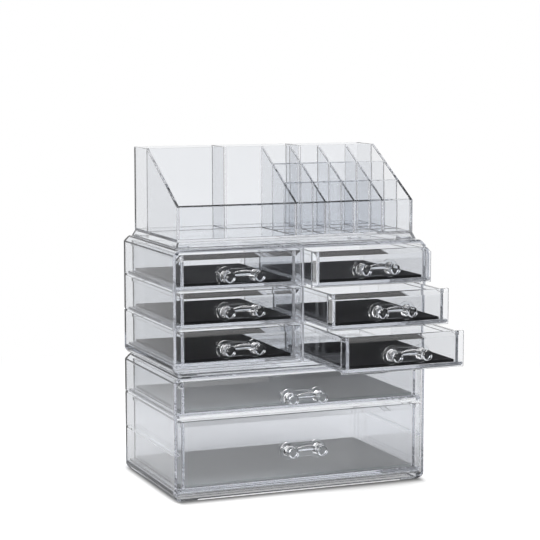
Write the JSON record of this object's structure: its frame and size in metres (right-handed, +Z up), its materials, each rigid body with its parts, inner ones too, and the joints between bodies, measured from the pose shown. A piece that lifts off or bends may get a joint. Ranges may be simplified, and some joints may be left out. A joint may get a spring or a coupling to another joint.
{
  "type": "makeup organizer",
  "caption": "Clear plastic makeup organizer: stacked cases with sliding drawers, clear pulls and dark floor mats, and an open tray of slanted compartments on top.",
  "frame": {"origin": "on the surface it stands on, under the middle of the lower case", "axes": "+Z up, +X to the right seen from the front, +Y to the back; the drawers open along -Y"},
  "size_m": [0.24, 0.2337, 0.301],
  "materials": {
    "clear_case": "clear, polished",
    "clear_tray": "clear, polished",
    "clear_drawer": "clear, polished",
    "clear_pull": "clear, polished",
    "dark_mat": "smooth, slight sheen"
  },
  "bodies": {
    "bottom_case": {"bottom_case": "clear_case"},
    "middle_case": {"middle_case": "clear_case"},
    "top_tray": {"top_tray": "clear_tray"},
    "lower_left_drawer": {"lower_left_drawer": "clear_drawer", "lower_left_drawer_pull": "clear_pull", "lower_left_drawer_mat": "dark_mat"},
    "lower_right_drawer": {"lower_right_drawer": "clear_drawer", "lower_right_drawer_pull": "clear_pull", "lower_right_drawer_mat": "dark_mat"},
    "middle_left_drawer": {"middle_left_drawer": "clear_drawer", "middle_left_drawer_pull": "clear_pull", "middle_left_drawer_mat": "dark_mat"},
    "middle_right_drawer": {"middle_right_drawer": "clear_drawer", "middle_right_drawer_pull": "clear_pull", "middle_right_drawer_mat": "dark_mat"},
    "upper_left_drawer": {"upper_left_drawer": "clear_drawer", "upper_left_drawer_pull": "clear_pull", "upper_left_drawer_mat": "dark_mat"},
    "upper_right_drawer": {"upper_right_drawer": "clear_drawer", "upper_right_drawer_pull": "clear_pull", "upper_right_drawer_mat": "dark_mat"},
    "wide_shallow_drawer": {"wide_shallow_drawer": "clear_drawer", "wide_shallow_drawer_pull": "clear_pull", "wide_shallow_drawer_mat": "dark_mat"},
    "wide_tall_drawer": {"wide_tall_drawer": "clear_drawer", "wide_tall_drawer_pull": "clear_pull", "wide_tall_drawer_mat": "dark_mat"}
  },
  "joints": [
    {"name": "middle_case_lift", "type": "slide", "parent": "bottom_case", "child": "middle_case", "axis": [0, 0, 1], "range_m": [0, 0.1]},
    {"name": "top_tray_lift", "type": "slide", "parent": "middle_case", "child": "top_tray", "axis": [0, 0, 1], "range_m": [0, 0.1]},
    {"name": "lower_left_drawer_slide", "type": "slide", "parent": "middle_case", "child": "lower_left_drawer", "axis": [0, -1, 0], "range_m": [0, 0.1]},
    {"name": "lower_right_drawer_slide", "type": "slide", "parent": "middle_case", "child": "lower_right_drawer", "axis": [0, -1, 0], "range_m": [-0.0806, 0.0194]},
    {"name": "middle_left_drawer_slide", "type": "slide", "parent": "middle_case", "child": "middle_left_drawer", "axis": [0, -1, 0], "range_m": [0, 0.1]},
    {"name": "middle_right_drawer_slide", "type": "slide", "parent": "middle_case", "child": "middle_right_drawer", "axis": [0, -1, 0], "range_m": [-0.052, 0.048]},
    {"name": "upper_left_drawer_slide", "type": "slide", "parent": "middle_case", "child": "upper_left_drawer", "axis": [0, -1, 0], "range_m": [0, 0.1]},
    {"name": "upper_right_drawer_slide", "type": "slide", "parent": "middle_case", "child": "upper_right_drawer", "axis": [0, -1, 0], "range_m": [-0.018, 0.082]},
    {"name": "wide_shallow_drawer_slide", "type": "slide", "parent": "bottom_case", "child": "wide_shallow_drawer", "axis": [0, -1, 0], "range_m": [0, 0.1]},
    {"name": "wide_tall_drawer_slide", "type": "slide", "parent": "bottom_case", "child": "wide_tall_drawer", "axis": [0, -1, 0], "range_m": [0, 0.1]}
  ]
}
